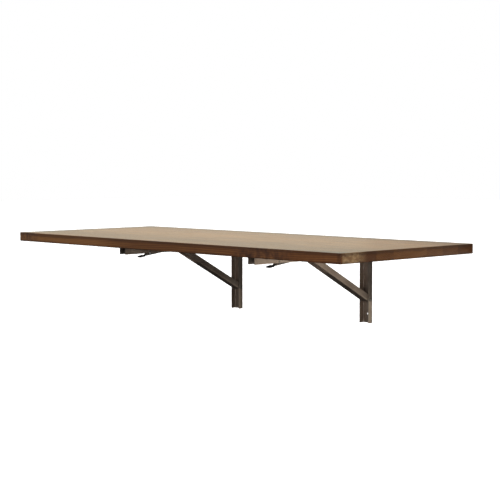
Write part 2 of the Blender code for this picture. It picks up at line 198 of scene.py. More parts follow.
def feed(tree, socket, value):
    """Links a socket where the value is another node's socket, and sets it otherwise."""
    if isinstance(value, bpy.types.NodeSocket):
        tree.links.new(value, socket)
    else:
        socket.default_value = value


def tree_node(tree, kind, settings=None, sockets=None):
    made = tree.nodes.new(kind)
    for name, value in (settings or {}).items():
        if name == "stops":
            fill_ramp(made.color_ramp, value)
        elif name == "steps":
            made.color_ramp.interpolation = "CONSTANT"
        else:
            setattr(made, name, value)
    for name, value in (sockets or {}).items():
        feed(tree, made.inputs[name], value)
    return made


def map_range(value, span, start, stop):
    """Sockets of a Map Range node that takes a span of a value from start to stop."""
    return {"Value": value, "From Min": span[0], "From Max": span[1], "To Min": start, "To Max": stop}


# %% [markdown]
# The sky is plain white where the camera sees it. As a light it is dimmer, most of all behind the bench
# and below it, so that undersides stay dark. The parts of the direction that a ray looks in say where it
# dims.

# %% Sky
SKY_ABOVE = 0.8
SKY_BELOW = 0.05
SKY_BEHIND = 0.14
SKY_RISE = (-0.35, 0.45)
SKY_TURN = (-0.20, 0.40)
WHITE = (1, 1, 1, 1)


def white_sky():
    world = bpy.data.worlds.new("sky")
    world.use_nodes = True
    tree = world.node_tree
    tree.nodes.clear()
    path = tree_node(tree, "ShaderNodeLightPath")
    direction = tree_node(tree, "ShaderNodeTexCoord").outputs["Generated"]
    parts = tree_node(tree, "ShaderNodeSeparateXYZ", sockets={0: direction}).outputs
    rise = map_range(parts["Z"], SKY_RISE, SKY_BELOW, SKY_ABOVE)
    turn = map_range(parts["Y"], SKY_TURN, 1.0, SKY_BEHIND)
    high = tree_node(tree, "ShaderNodeMapRange", sockets=rise).outputs[0]
    back = tree_node(tree, "ShaderNodeMapRange", sockets=turn).outputs[0]
    strength = tree_node(tree, "ShaderNodeMath", {"operation": "MULTIPLY"}, {0: high, 1: back})
    seen = tree_node(tree, "ShaderNodeBackground", sockets={"Color": WHITE})
    sockets = {"Color": WHITE, "Strength": strength.outputs[0]}
    lit = tree_node(tree, "ShaderNodeBackground", sockets=sockets)
    sockets = {0: path.outputs["Is Camera Ray"], 1: lit.outputs[0], 2: seen.outputs[0]}
    choice = tree_node(tree, "ShaderNodeMixShader", sockets=sockets)
    tree_node(tree, "ShaderNodeOutputWorld", sockets={"Surface": choice.outputs[0]})
    return world


bpy.context.scene.world = white_sky()
print("sky with", len(bpy.context.scene.world.node_tree.nodes), "nodes")

# %% [markdown]
# In the tree of a finish, one class stands for a value, and arithmetic on it adds the Math nodes. So a
# finish reads as a few expressions.


# %% Values
class Value:
    """An output socket in a finish. Arithmetic on it adds Math nodes."""

    def __init__(self, finish, socket):
        self.finish = finish
        self.socket = socket

    def maths(self, operation, first, second=0.0):
        return self.finish.node("Math", {"operation": operation}, {0: first, 1: second})

    def alone(self, operation):
        """A Math node that takes this value alone, such as SINE."""
        return self.maths(operation, self)

    def other(self, output):
        """Another output of the same node."""
        return Value(self.finish, self.socket.node.outputs[output])

    def __add__(self, other):
        return self.maths("ADD", self, other)

    def __sub__(self, other):
        return self.maths("SUBTRACT", self, other)

    def __rsub__(self, other):
        return self.maths("SUBTRACT", other, self)

    def __mul__(self, other):
        return self.maths("MULTIPLY", self, other)

    def __truediv__(self, other):
        return self.maths("DIVIDE", self, other)

    def __abs__(self):
        return self.alone("ABSOLUTE")

    __radd__ = __add__
    __rmul__ = __mul__


def bare(value):
    """The socket of a Value, and anything else as it is."""
    return value.socket if isinstance(value, Value) else value


# %% [markdown]
# A finish is a material with a Principled shader. One method makes any of its nodes, and short ones stand
# for the nodes that most finishes use, such as noise, a smooth step or a mix of two colours.


# %% Finishes
class Finish:
    """A material with a Principled shader, and the methods that add its nodes."""

    def __init__(self, name):
        self.material = bpy.data.materials.new(name)
        self.material.use_nodes = True
        self.tree = self.material.node_tree
        self.shader = self.tree.nodes["Principled BSDF"]

    def node(self, kind, settings=None, sockets=None, output=0):
        sockets = {name: bare(value) for name, value in (sockets or {}).items()}
        made = tree_node(self.tree, "ShaderNode" + kind, settings, sockets)
        return Value(self, made.outputs[output])

    def surface(self, sockets):
        for name, value in sockets.items():
            feed(self.tree, self.shader.inputs[name], bare(value))
        print("finish", self.material.name, "with", len(self.tree.nodes), "nodes")
        return self.material

    def place(self):
        return self.node("TexCoord", output="Object")

    def stretch(self, vector, scales):
        return self.node("VectorMath", {"operation": "MULTIPLY"}, {0: vector, 1: scales})

    def noise(self, vector, scale, detail=2.0, rough=0.5):
        sockets = {"Vector": vector, "Scale": scale, "Detail": detail, "Roughness": rough}
        return self.node("TexNoise", sockets=sockets)

    def ease(self, value, low, high, start=0.0, stop=1.0):
        """Smooth step of a value between low and high, from start to stop."""
        sockets = map_range(value, (low, high), start, stop)
        return self.node("MapRange", {"interpolation_type": "SMOOTHSTEP"}, sockets)

    def mix(self, factor, first, second):
        sockets = {0: factor, 6: first, 7: second}
        return self.node("Mix", {"data_type": "RGBA"}, sockets, output=2)

    def bump(self, height, distance, strength=1.0):
        return self.node("Bump", sockets={"Height": height, "Distance": distance, "Strength": strength})

    def mark(self, name):
        """An attribute of the piece."""
        return self.node("Attribute", {"attribute_name": name}, output="Fac")


def rgb(*colour):
    return (*colour, 1)


# %% [markdown]
# The worktop is glued up from eight staves of a hardwood stained walnut brown, 3 inches wide each, with a
# satin lacquer. An image of boards would not match at the corners. Here the wood is a solid instead: each
# stave has its own heart line, and its growth rings are circles round it that wander slowly along the
# board. Cut by the faces, the same rings give long grain on top, straight grain on the front edge and
# arcs on the ends. Fibres and pores run along the board, clouds and curly figure cross it.

# %% Grain of the wood
BOARD_LOW, BOARD_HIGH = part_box("worktop")
BOARD_MIDDLE = (BOARD_LOW + BOARD_HIGH) / 2
STAVE_TONES = (0.48, 0.18, 0.54, 0.80, 0.88, 0.62, 0.44, 0.10)
STAVE_WIDTH = (BOARD_HIGH.y - BOARD_LOW.y) / len(STAVE_TONES)
STAVE_SHIFT = 3.7
WOOD_SEED = 11.0
HEART_SPREAD = 0.10
HEART_DEPTH = 0.02
HEART_DROP = 0.07
RING_WIDTH = 0.0048
RING_WANDER = 0.030
FACE = (0.0024, 0.00168)


def near_low(wood, value, edge, fade):
    """1 by a low edge and 0 further in. The fade says how far in it is gone, and how far in it is full."""
    return wood.ease(value, edge + fade[1], edge + fade[0], 1.0, 0.0)


def near_high(wood, value, edge, fade):
    """1 by a high edge and 0 further in."""
    return wood.ease(value, edge - fade[0], edge - fade[1])


def wood_places(wood):
    """Where a point lies on the board, and the faces that it is on."""
    where = wood.place()
    x = wood.node("SeparateXYZ", sockets={0: where})
    y, z = x.other(1), x.other(2)
    behind = y - BOARD_LOW.y
    return SimpleNamespace(
        where=where, x=x, y=y, z=z, behind=behind,
        along=(x - BOARD_LOW.x) / (BOARD_HIGH.x - BOARD_LOW.x),
        stave=(behind / STAVE_WIDTH).alone("FLOOR"),
        end=near_high(wood, abs(x), BOARD_HIGH.x, FACE),
        front=near_low(wood, behind, 0.0, FACE),
        under=near_low(wood, z, BOARD_LOW.z, FACE),
    )


def wood_grain(wood, at):
    """Rings round each stave's heart line, and what runs along and across them."""
    sockets = {"W": at.stave + WOOD_SEED}
    chance = wood.node("TexWhiteNoise", {"noise_dimensions": "1D"}, sockets, output="Color")
    shift = wood.node("SeparateXYZ", sockets={0: chance})
    drop = shift.other(1)
    heart_y = (at.stave + 0.5) * STAVE_WIDTH + BOARD_LOW.y + (shift - 0.5) * HEART_SPREAD
    heart_z = BOARD_MIDDLE.z - HEART_DEPTH - drop * HEART_DROP
    own = wood.node("CombineXYZ", sockets={0: at.x + at.stave * STAVE_SHIFT, 1: at.y, 2: at.z})

    def streaks(scales, detail, rough=0.5):
        return wood.noise(wood.stretch(own, scales), 1.0, detail, rough)

    across_y, across_z = at.y - heart_y, at.z - heart_z
    radius = (across_y * across_y + across_z * across_z).alone("SQRT")
    grown = radius + streaks((1.3, 9, 9), 3.0) * RING_WANDER
    wave = (grown * (2 * math.pi / RING_WIDTH)).alone("SINE") * 0.5 + 0.5
    return SimpleNamespace(
        ring=wave * wave,
        fibre=streaks((14, 420, 420), 3.0, 0.6),
        pore=wood.ease(streaks((45, 1500, 1500), 1.0), 0.60, 0.72),
        cloud=streaks((5, 22, 22), 3.0),
        curl=streaks((75, 60, 60), 2.0, 0.6),
    )


print(len(STAVE_TONES), "staves of", round(STAVE_WIDTH, 4))

# %% [markdown]
# Staves differ in tone, the front one also along its length, where a part is curly. The ends are paler
# near the front. Painted shade darkens the arrises of the sides and the rim of the top. The underside
# has a single thin coat and is matt.

# %% Stained wood
MIDDLE_TONE = 0.46
FRONT_TONES = ((0.0, 0.94), (0.15, 1.0), (0.28, 0.98), (0.36, 0.60), (0.60, 0.44),
               (0.67, 0.50), (0.73, 0.48), (0.76, 0.36), (0.84, 0.38), (0.88, 0.36))
FIGURE = ((0.0, 1), (0.045, 1), (0.075, 0), (0.71, 0), (0.75, 0.8), (0.84, 0.8), (0.88, 0.1))
STAIN = ((0.05, (0.045, 0.012, 0.003)), (0.45, (0.150, 0.052, 0.012)), (0.95, (0.350, 0.150, 0.042)))
FIGURE_STAIN = rgb(0.090, 0.048, 0.032)
END_PALE = rgb(0.54, 0.35, 0.175)
# Colours of the painted shade on the rim of the top and along the arrises
RIM_SHADE = rgb(0.035, 0.018, 0.010)
ARRIS_SHADE = rgb(0.030, 0.010, 0.004)
PALE_START = (0.004, 0.012)
PALE_RAGGED = 0.04
ARRIS_RAGGED = 0.020

# How far in from its edge each patch is gone, and how far in it is full
PALE_END = (0.140, 0.085)
UPPER_ARRIS = (0.014, 0.004)
LOWER_ARRIS = (0.007, 0.001)
FRONT_CORNER = (0.018, 0.008)
BACK_RIM = (0.075, 0.010)
LEFT_RIM = (0.10, 0.02)
RIGHT_RIM = (0.30, 0.0)
FRONT_RIM = (STAVE_WIDTH, 0.3 * STAVE_WIDTH)


def grey_stops(pairs):
    return [(place, (tone, tone, tone)) for place, tone in pairs]


def wood_tone(wood, at, grain):
    """Lightness of the wood, and how curly it is."""
    stops = grey_stops((i / len(STAVE_TONES), tone) for i, tone in enumerate(STAVE_TONES))
    across = at.behind / (BOARD_HIGH.y - BOARD_LOW.y)
    tones = wood.node("ValToRGB", {"stops": stops, "steps": True}, {0: across})
    lengths = wood.node("ValToRGB", {"stops": grey_stops(FRONT_TONES)}, {0: at.along})
    calm = (tones - MIDDLE_TONE) * (0.35 + at.end * 0.65) + MIDDLE_TONE
    lightness = wood.node("Mix", sockets={0: at.front, 2: calm, 3: lengths})
    figured = wood.node("ValToRGB", {"stops": grey_stops(FIGURE)}, {0: at.along}) * at.front
    tone = grain.ring * 0.20 + grain.fibre * 0.30 + grain.cloud * 0.40 - grain.pore * 0.14
    tone = tone + lightness * 0.55 - 0.16 + figured * (grain.curl - 0.53) * 1.8
    return tone, figured


def wood_colour(wood, at, grain):
    tone, figured = wood_tone(wood, at, grain)
    colour = wood.node("ValToRGB", {"stops": STAIN}, {0: tone})
    colour = wood.mix(figured * 0.35, colour, FIGURE_STAIN)

    # Pale patch on the ends, near the front
    mottle = wood.noise(wood.stretch(at.where, (60, 60, 130)), 1.0, 3.0, 0.6)
    fading = near_low(wood, at.behind + mottle * PALE_RAGGED, 0.0, PALE_END)
    pale = wood.ease(at.behind, *PALE_START) * fading * at.end
    colour = wood.mix(pale * wood.ease(mottle, 0.34, 0.60, 0.35, 0.95), colour, END_PALE)

    # Painted shade on the rim of the top, on the arrises of the sides and at the right end of the front
    # edge
    side = at.end + at.front - at.end * at.front
    rim = near_high(wood, at.y, BOARD_HIGH.y, BACK_RIM) + near_low(wood, at.x, BOARD_LOW.x, LEFT_RIM)
    near = near_high(wood, at.x, BOARD_HIGH.x, RIGHT_RIM) * near_low(wood, at.behind, 0.0, FRONT_RIM)
    colour = wood.mix((1 - side) * wood.ease(rim + near, 0.0, 1.0) * 0.6, colour, RIM_SHADE)
    ragged = (grain.cloud - 0.5) * ARRIS_RAGGED
    upper = near_high(wood, at.z + ragged, BOARD_HIGH.z, UPPER_ARRIS)
    lower = near_low(wood, at.z - ragged, BOARD_LOW.z, LOWER_ARRIS)
    colour = wood.mix(side * (upper + lower) * 0.58, colour, ARRIS_SHADE)
    corner = near_high(wood, at.x, BOARD_HIGH.x, FRONT_CORNER) * at.front
    return wood.mix(corner * 0.45, colour, ARRIS_SHADE)


def stained_wood():
    wood = Finish("stained_wood_finish")
    at = wood_places(wood)
    grain = wood_grain(wood, at)
    height = grain.fibre * 0.6 - grain.pore + grain.ring * 0.15
    return wood.surface({
        "Base Color": wood_colour(wood, at, grain),
        "Roughness": 0.36 + grain.fibre * 0.14 + grain.pore * 0.15 + at.under * 0.35,
        "Normal": wood.bump(height, 0.00012, 0.6),
        "Specular IOR Level": 0.28,
    })


WOOD = stained_wood()

# %% [markdown]
# The brackets are bent from mild steel sheet with a thin bronze brown coat that lets some of the metal's
# shine through. It is uneven: clouds from the dip, a fine tooth from the mill and bare, paler steel where
# the sharp edges have rubbed. Inside the arms and on the levers it is darkened by painted shade. Edges and
# shaded faces are marked on each piece by an attribute, so wear and painted shade follow the shape.

# %% Bronze steel
EDGE_MARK = "edge_wear"
# Attribute of the faces that get painted shade inside the arms and on the levers
SHADE_MARK = "inner_faces"
BRONZE_DARK = rgb(0.290, 0.232, 0.188)
BRONZE_PALE = rgb(0.430, 0.355, 0.292)
BRONZE_TOOTH = rgb(0.215, 0.172, 0.140)
BARE_STEEL = rgb(0.50, 0.46, 0.41)
# Dark colour of the painted shade
STEEL_SHADE = rgb(0.050, 0.036, 0.026)


def bronze_steel():
    steel = Finish("bronze_steel_finish")
    where = steel.place()
    cloud = steel.noise(where, 16.0, 4.0, 0.6)
    tooth = steel.noise(where, 900.0, 2.0)
    colour = steel.mix(steel.ease(cloud, 0.30, 0.70), BRONZE_DARK, BRONZE_PALE)
    colour = steel.mix(tooth * 0.35, colour, BRONZE_TOOTH)
    worn = steel.mark(EDGE_MARK) * steel.ease(steel.noise(where, 60.0, 3.0), 0.35, 0.60)
    colour = steel.mix(worn * 0.6, colour, BARE_STEEL)
    # Painted shade: the marked faces are darkened and made less metallic
    inner = steel.mark(SHADE_MARK)
    return steel.surface({
        "Base Color": steel.mix(inner * 0.75, colour, STEEL_SHADE),
        "Metallic": 0.66 + worn * 0.25 - inner * 0.40,
        "Roughness": 0.34 + cloud * 0.16 - worn * 0.10,
        "Normal": steel.bump(tooth, 0.00004, 0.5),
    })


STEEL = bronze_steel()

# %% [markdown]
# Pins, rivets, washers, screws and springs are zinc plated: a grey metal with a faint straw and blue cast
# from the passivation, dulled in patches. The grips are dipped in soft black vinyl, which is matt and
# slightly dusty.

# %% Zinc plate and vinyl
ZINC_STRAW = rgb(0.230, 0.200, 0.165)
ZINC_BLUE = rgb(0.185, 0.180, 0.178)
ZINC_DULL = rgb(0.110, 0.098, 0.086)
VINYL_BLACK = rgb(0.010, 0.010, 0.011)
VINYL_DUST = rgb(0.030, 0.029, 0.028)


def zinc_plate():
    zinc = Finish("zinc_plate_finish")
    where = zinc.place()
    cast = zinc.noise(where, 55.0, 3.0)
    dull = zinc.noise(where, 240.0, 3.0, 0.6)
    colour = zinc.mix(zinc.ease(cast, 0.35, 0.65), ZINC_STRAW, ZINC_BLUE)
    return zinc.surface({
        "Base Color": zinc.mix(dull * 0.45, colour, ZINC_DULL),
        "Metallic": 0.92,
        "Roughness": 0.34 + dull * 0.24,
        "Normal": zinc.bump(dull, 0.00003, 0.4),
    })


def black_vinyl():
    vinyl = Finish("black_vinyl_finish")
    where = vinyl.place()
    dust = vinyl.noise(where, 130.0, 4.0, 0.65)
    skin_bumps = vinyl.noise(where, 1400.0, 2.0)
    return vinyl.surface({
        "Base Color": vinyl.mix(vinyl.ease(dust, 0.45, 0.75), VINYL_BLACK, VINYL_DUST),
        "Roughness": 0.46 + dust * 0.22,
        "Normal": vinyl.bump(skin_bumps, 0.00004, 0.5),
    })


ZINC = zinc_plate()
VINYL = black_vinyl()

# %% [markdown]
# The floor is a wide pale sheet as far below as a bench like this hangs. It only shows soft light:
# bounced rays pass it, so that it doesn't brighten the undersides.

# %% Floor
BENCH_HEIGHT = 1.00
FLOOR_SIZE = 60.0
FLOOR_GLOW = 0.6


def pale_floor():
    paint = Finish("pale_floor_finish")
    soft = paint.noise(paint.place(), 0.8, 3.0)
    return paint.surface({
        "Base Color": paint.mix(soft, rgb(0.90, 0.90, 0.90), rgb(0.93, 0.93, 0.93)),
        "Roughness": 0.9,
        "Emission Color": WHITE,
        "Emission Strength": FLOOR_GLOW,
    })


floor_mesh = bmesh.new()
bmesh.ops.create_grid(floor_mesh, x_segments=2, y_segments=2, size=FLOOR_SIZE / 2)
bmesh.ops.translate(floor_mesh, vec=(0, 0, -BENCH_HEIGHT), verts=floor_mesh.verts)
floor_data = bpy.data.meshes.new("floor")
floor_mesh.to_mesh(floor_data)
floor_mesh.free()
floor_data.materials.append(pale_floor())
floor = add_object("floor", floor_data)
floor.visible_diffuse = False
floor.visible_glossy = False
print("floor at", -BENCH_HEIGHT)

# %% [markdown]
# Shapes come from a few helpers: an arc for an outline, a skin over rings of points, a prism of an
# outline, a turned solid and a block.

# %% Outlines and solids
ROUND = 40


def arc(centre, radius, start, stop, steps):
    """Points of an arc, from start to stop in degrees, ends included."""
    turns = [math.radians(start + (stop - start) * i / steps) for i in range(steps + 1)]
    return [(centre[0] + radius * math.cos(t), centre[1] + radius * math.sin(t)) for t in turns]


def circle(centre, radius, steps=ROUND):
    return arc(centre, radius, 0, 360 - 360 / steps, steps - 1)


def skin(rings, bm=None, hollow=False):
    """Solid over equal rings of points. Both ends are filled, or in a hollow one they meet."""
    bm = bm or bmesh.new()
    rows = [[bm.verts.new(point) for point in ring] for ring in rings]
    following = rows[1:] + rows[:1] if hollow else rows[1:]
    for low, high in zip(rows, following):
        for i in range(len(low)):
            j = (i + 1) % len(low)
            bm.faces.new((low[i], low[j], high[j], high[i]))
    if not hollow:
        bm.faces.new(rows[0])
        bm.faces.new(rows[-1])
    return bm


def prism(outline, low, high, axis, bm=None):
    """Prism of an outline in (u, z), (x, z) or (x, u), run along x, u or z."""
    put = {
        "x": lambda p, q, r: (r, -p, q),
        "u": lambda p, q, r: (p, -r, q),
        "z": lambda p, q, r: (p, -q, r),
    }[axis]
    return skin([[put(p, q, r) for p, q in outline] for r in (low, high)], bm)


def turned(profile, axis, centre=(0, 0), bm=None, steps=ROUND, hollow=False):
    """Turned solid: (place along the axis, radius) pairs about x or z, centred at (u, z) or (x, u)."""
    rings = []
    for along, radius in profile:
        ring = circle(centre, radius, steps)
        rings.append([(along, -p, q) if axis == "x" else (p, -q, along) for p, q in ring])
    return skin(rings, bm, hollow)


def bore(radius, low, high, axis, centre, bm=None, steps=ROUND):
    """Tool for a round hole between two places along its axis."""
    return turned([(low, radius), (high, radius)], axis, centre, bm, steps)


def block(size, middle):
    bm = bmesh.new()
    bmesh.ops.create_cube(bm, size=1)
    bmesh.ops.scale(bm, vec=size, verts=bm.verts)
    bmesh.ops.translate(bm, vec=middle, verts=bm.verts)
    return bm


print("a full circle has", len(circle((0, 0), 1)), "points")

# %% [markdown]
# A shape becomes an object, is cut by Boolean modifiers and gets its sharp edges softened by a Bevel.
# While it is worked its modifiers are live. Then it is made a plain mesh that sits at the origin, gets
# its finish, and rides on its body in place of its nodes.

# %% Pieces from shapes
SHARP_ANGLE = math.radians(42)


def solid(name, bm):
    """Object from a closed bmesh, with its faces turned outwards and shaded smooth."""
    bmesh.ops.recalc_face_normals(bm, faces=bm.faces)
    mesh = bpy.data.meshes.new(name)
    bm.to_mesh(mesh)
    bm.free()
    mesh.shade_smooth()
    return add_object(name, mesh)


def cut(made, tool, operation="DIFFERENCE"):
    step = made.modifiers.new(tool.name, "BOOLEAN")
    step.operation = operation
    step.object = tool
    step.solver = "EXACT"


def soften(made, width, segments=2):
    """Small round on every sharp edge."""
    step = made.modifiers.new("softened edges", "BEVEL")
    step.limit_method = "ANGLE"
    step.angle_limit = SHARP_ANGLE
    step.width = width
    step.segments = segments
    step.use_clamp_overlap = False
    step.harden_normals = True


def plain(made, *tools, move=(0, 0, 0), turn=None):
    """Object with its modifiers worked into the mesh and its place in the points, without the tools."""
    seen_by = bpy.context.evaluated_depsgraph_get()
    mesh = bpy.data.meshes.new_from_object(made.evaluated_get(seen_by), depsgraph=seen_by)
    mesh.transform(Matrix.Translation(move) @ (turn or Matrix.Identity(4)))
    name = made.name
    for old in (made, *tools):
        bpy.data.objects.remove(old)
    mesh.name = name
    return add_object(name, mesh)


def dress(made, finish, body, slot, *nodes):
    made.data.materials.clear()
    made.data.materials.append(finish)
    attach(made, body)
    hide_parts(*nodes)
    made.data.calc_loop_triangles()
    print(made.name, "on", body, "with", len(made.data.loop_triangles), "triangles, for", nodes)


# %% [markdown]
# The worktop is one board with its edges eased by a small round. The round catches the light as a thin
# line, so it is modelled, and a pilot hole takes each screw from below.

# %% Worktop
BOARD_EASE = 0.0022
BOARD_EASE_STEPS = 5
HOLE_CLEARANCE = 0.0003
SCREW_RADIUS = 0.0023
SCREW_SIDES = 20
PILOT_RADIUS = SCREW_RADIUS + HOLE_CLEARANCE
SCREW_NODES = {side: [f"{side}_top_screw_{number}" for number in range(1, 5)] for side in SIDES}
SCREWS = [node for side in SIDES for node in SCREW_NODES[side]]


def worktop_board():
    made = solid("worktop_board", block(BOARD_HIGH - BOARD_LOW, BOARD_MIDDLE))
    soften(made, BOARD_EASE, BOARD_EASE_STEPS)
    holes = None
    for node in SCREWS:
        middle, top = middle_of(node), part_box(node)[1].z + HOLE_CLEARANCE
        ends = (BOARD_LOW.z - BOARD_EASE, top)
        holes = bore(PILOT_RADIUS, *ends, "z", (middle.x, -middle.y), holes, SCREW_SIDES)
    tool = solid("pilot_holes", holes)
    cut(made, tool)
    made = plain(made, tool)
    made.data.set_sharp_from_angle(angle=SHARP_ANGLE)
    made.modifiers.new("flat faces", "WEIGHTED_NORMAL").keep_sharp = True
    return plain(made)


dress(worktop_board(), WOOD, "leaf", "stained_wood", "worktop")

# %% [markdown]
# Sheet steel is worn on its edges and gets painted shade where it is sheltered. The wear could be painted
# by hand, but the shape already knows: the narrow faces that the softening made are the edges, and the
# faces between the flanges are the sheltered ones. Two attributes mark them for the finish.

# %% Marks for wear and painted shade
SHEET_EASE = 0.0003
EDGE_SHARE = 1.2


def mark_faces(made, name, marked):
    """Attribute that is 1 on the faces that a test picks and 0 elsewhere."""
    mark = made.data.attributes.new(name, "FLOAT", "FACE")
    for face in made.data.polygons:
        mark.data[face.index].value = 1.0 if marked(face) else 0.0


def mark_edges(made, ease):
    """Marks the narrow faces of softened edges."""
    def narrow(face):
        points = [made.data.vertices[i].co for i in face.vertices]
        sides = [(a - b).length for a, b in zip(points, points[1:] + points[:1])]
        return len(sides) == 4 and min(sides) < EDGE_SHARE * ease

    mark_faces(made, EDGE_MARK, narrow)


def mark_shaded(made, centre, half):
    """Marks for painted shade the faces within a half width of the middle plane, apart from those on top.
    """
    top = max(vertex.co.z for vertex in made.data.vertices) - SHEET_EASE
    mark_faces(made, SHADE_MARK, lambda face: abs(face.center.x - centre) < half and face.center.z < top)


print("marks", EDGE_MARK, SHADE_MARK)

# %% [markdown]
# Wall channels, arms and braces are all U channels. A channel could be six thin boxes, but bent sheet has
# round outer corners and smaller inner ones. So its section is drawn with both arcs and run out too long,
# then cut to its side outline and punched, as a fabricator would do it.

# %% Bent channels
BEND = 0.0035
BEND_STEPS = 8
CORNER = 0.003
CORNER_STEPS = 6
EAR_STEPS = 16
THROUGH = 1


def channel_section(width, sheet, depth):
    """U section: across the width, and up from the outer face of the web."""
    right = arc((width / 2 - BEND, BEND), BEND, 270, 360, BEND_STEPS)
    inside = arc((width / 2 - BEND, BEND), BEND - sheet, 360, 270, BEND_STEPS)
    half = right + [(width / 2, depth), (width / 2 - sheet, depth)] + inside
    return half + [(-x, h) for x, h in reversed(half)]


def bent_channel(name, section, low, high, axis, outline, holes, move, turn=None):
    made = solid(name, prism(section, low, high, axis))
    shears = solid(name + "_outline", prism(outline, -THROUGH, THROUGH, "x"))
    punch = solid(name + "_holes", holes)
    cut(made, shears, "INTERSECT")
    cut(made, punch)
    soften(made, SHEET_EASE)
    made = plain(made, shears, punch, move=move, turn=turn)
    mark_edges(made, SHEET_EASE)
    return made


def cross_hole(radius, place, bm=None):
    """Tool for a round hole through both flanges at (u, z)."""
    return bore(radius, -THROUGH, THROUGH, "x", place, bm)


print("sheet is bent to a radius of", BEND)

# %% [markdown]
# The wall channel stands on the wall with its open side to the front. Two ears at its top carry the hinge
# of the worktop, and two holes take the wall screws.

# %% Wall channels
WALL_SHEET = 0.0025
WALL_DEPTH = 0.021
HINGE_EAR_LENGTH = 0.046
HINGE_EAR_ARC = (-40, 90)
PIN_RADIUS = 0.004
PIN_HOLE = PIN_RADIUS + HOLE_CLEARANCE
WALL_HOLE_RADIUS = 0.003
WALL_HOLE_DROPS = (0.070, 0.256)


def wall_channel(side):
    low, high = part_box(side + "_wall_channel")
    ear = -low.y - HINGE[0]
    outline = [(-BEND, low.z), (WALL_DEPTH - CORNER, low.z)]
    outline += arc((WALL_DEPTH - CORNER, low.z + CORNER), CORNER, 270, 360, CORNER_STEPS)[1:]
    outline += [(WALL_DEPTH, high.z - HINGE_EAR_LENGTH)]
    outline += arc(HINGE, ear, *HINGE_EAR_ARC, EAR_STEPS)
    outline += [(-BEND, high.z)]
    section = channel_section(high.x - low.x, WALL_SHEET, 3 * WALL_DEPTH)
    holes = cross_hole(PIN_HOLE, PIVOT, cross_hole(PIN_HOLE, HINGE))
    for drop in WALL_HOLE_DROPS:
        holes = prism(circle((0, -drop), WALL_HOLE_RADIUS), -WALL_SHEET, 2 * WALL_SHEET, "u", holes)
    ends = (low.z - BEND, high.z + BEND)
    return bent_channel(f"{side}_wall_rail", section, *ends, "z", outline, holes, (SIDE_X[side], 0, 0))


for side in SIDES:
    dress(wall_channel(side), STEEL, "wall_frame", "bronze_steel", side + "_wall_channel")

# %% [markdown]
# The arm is screwed under the worktop with its open side down. A long slot in both flanges guides the
# slide pin as the bench folds. The small holes take the hinge, the rivet of the lever, the end of its
# spring and the screws.

# %% Arms
ARM_SHEET = 0.002
INNER_SHARE = 0.75
LEVER_RIVET_RADIUS = 0.003
LEVER_RIVET_HOLE = LEVER_RIVET_RADIUS + HOLE_CLEARANCE
WIRE_RADIUS = 0.0005
WIRE_HOLE_SIDES = 16
COIL_RADIUS = LEVER_RIVET_HOLE + WIRE_RADIUS
SPRING_LEG = 0.012


def arm(side):
    low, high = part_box(side + "_arm")
    tail, front = -high.y, -low.y
    outline = [(tail, high.z + BEND), (tail, low.z + CORNER)]
    outline += arc((tail + CORNER, low.z + CORNER), CORNER, 180, 270, CORNER_STEPS)[1:]
    outline += arc((front - CORNER, low.z + CORNER), CORNER, 270, 360, CORNER_STEPS)
    outline += [(front, high.z + BEND)]
    width = high.x - low.x
    section = [(x, high.z - h) for x, h in channel_section(width, ARM_SHEET, 2 * (high.z - low.z))]
    slot = arc(PIN, PIN_HOLE, 90, 270, EAR_STEPS)
    slot += arc((PIN[0] + PIN_TRAVEL, PIN[1]), PIN_HOLE, -90, 90, EAR_STEPS)
    holes = prism(slot, -THROUGH, THROUGH, "x")
    holes = cross_hole(PIN_HOLE, HINGE, holes)
    holes = cross_hole(LEVER_RIVET_HOLE, LEVER, holes)
    anchor = (LEVER[0] - SPRING_LEG, LEVER[1] + COIL_RADIUS)
    holes = bore(2 * WIRE_RADIUS, 0, THROUGH, "x", anchor, holes, WIRE_HOLE_SIDES)
    for node in SCREW_NODES[side]:
        ends = (high.z - 2 * ARM_SHEET, high.z + BEND)
        holes = bore(PILOT_RADIUS, *ends, "z", (0, -middle_of(node).y), holes, SCREW_SIDES)
    ends = (tail - BEND, front + BEND)
    made = bent_channel(f"{side}_arm_rail", section, *ends, "u", outline, holes, (SIDE_X[side], 0, 0))
    # Painted shade on the faces between the arm's flanges
    mark_shaded(made, SIDE_X[side], width / 2 - INNER_SHARE * ARM_SHEET)
    return made


for side in SIDES:
    dress(arm(side), STEEL, "leaf", "bronze_steel", side + "_arm")

# %% [markdown]
# The brace is drawn level about its lower pivot and then tilted to its place, because its holes and ends
# are square to its own length. Its upper end is a fork: the back is cut away to pass the lever, and two
# ears reach up beside the arm to the slide pin.

# %% Braces
BRACE_SHEET = 0.002
BRACE_BACK = 0.0085
BRACE_RISE = 0.012
BRACE_FORK = 0.080
BRACE_EAR_RADIUS = 0.009
BRACE_EAR_ARC = (-10, 140)
BRACE_FOOT_STEPS = 10
BRACE_TILT = math.radians(JOINTS["left_brace_swing"]["range_deg"][1] - 90)


def level(place):
    """A point (u, z) of the tilted brace, drawn level about its pivot."""
    u, z = place[0] - PIVOT[0], place[1] - PIVOT[1]
    cosine, sine = math.cos(BRACE_TILT), math.sin(BRACE_TILT)
    return u * cosine + z * sine, z * cosine - u * sine


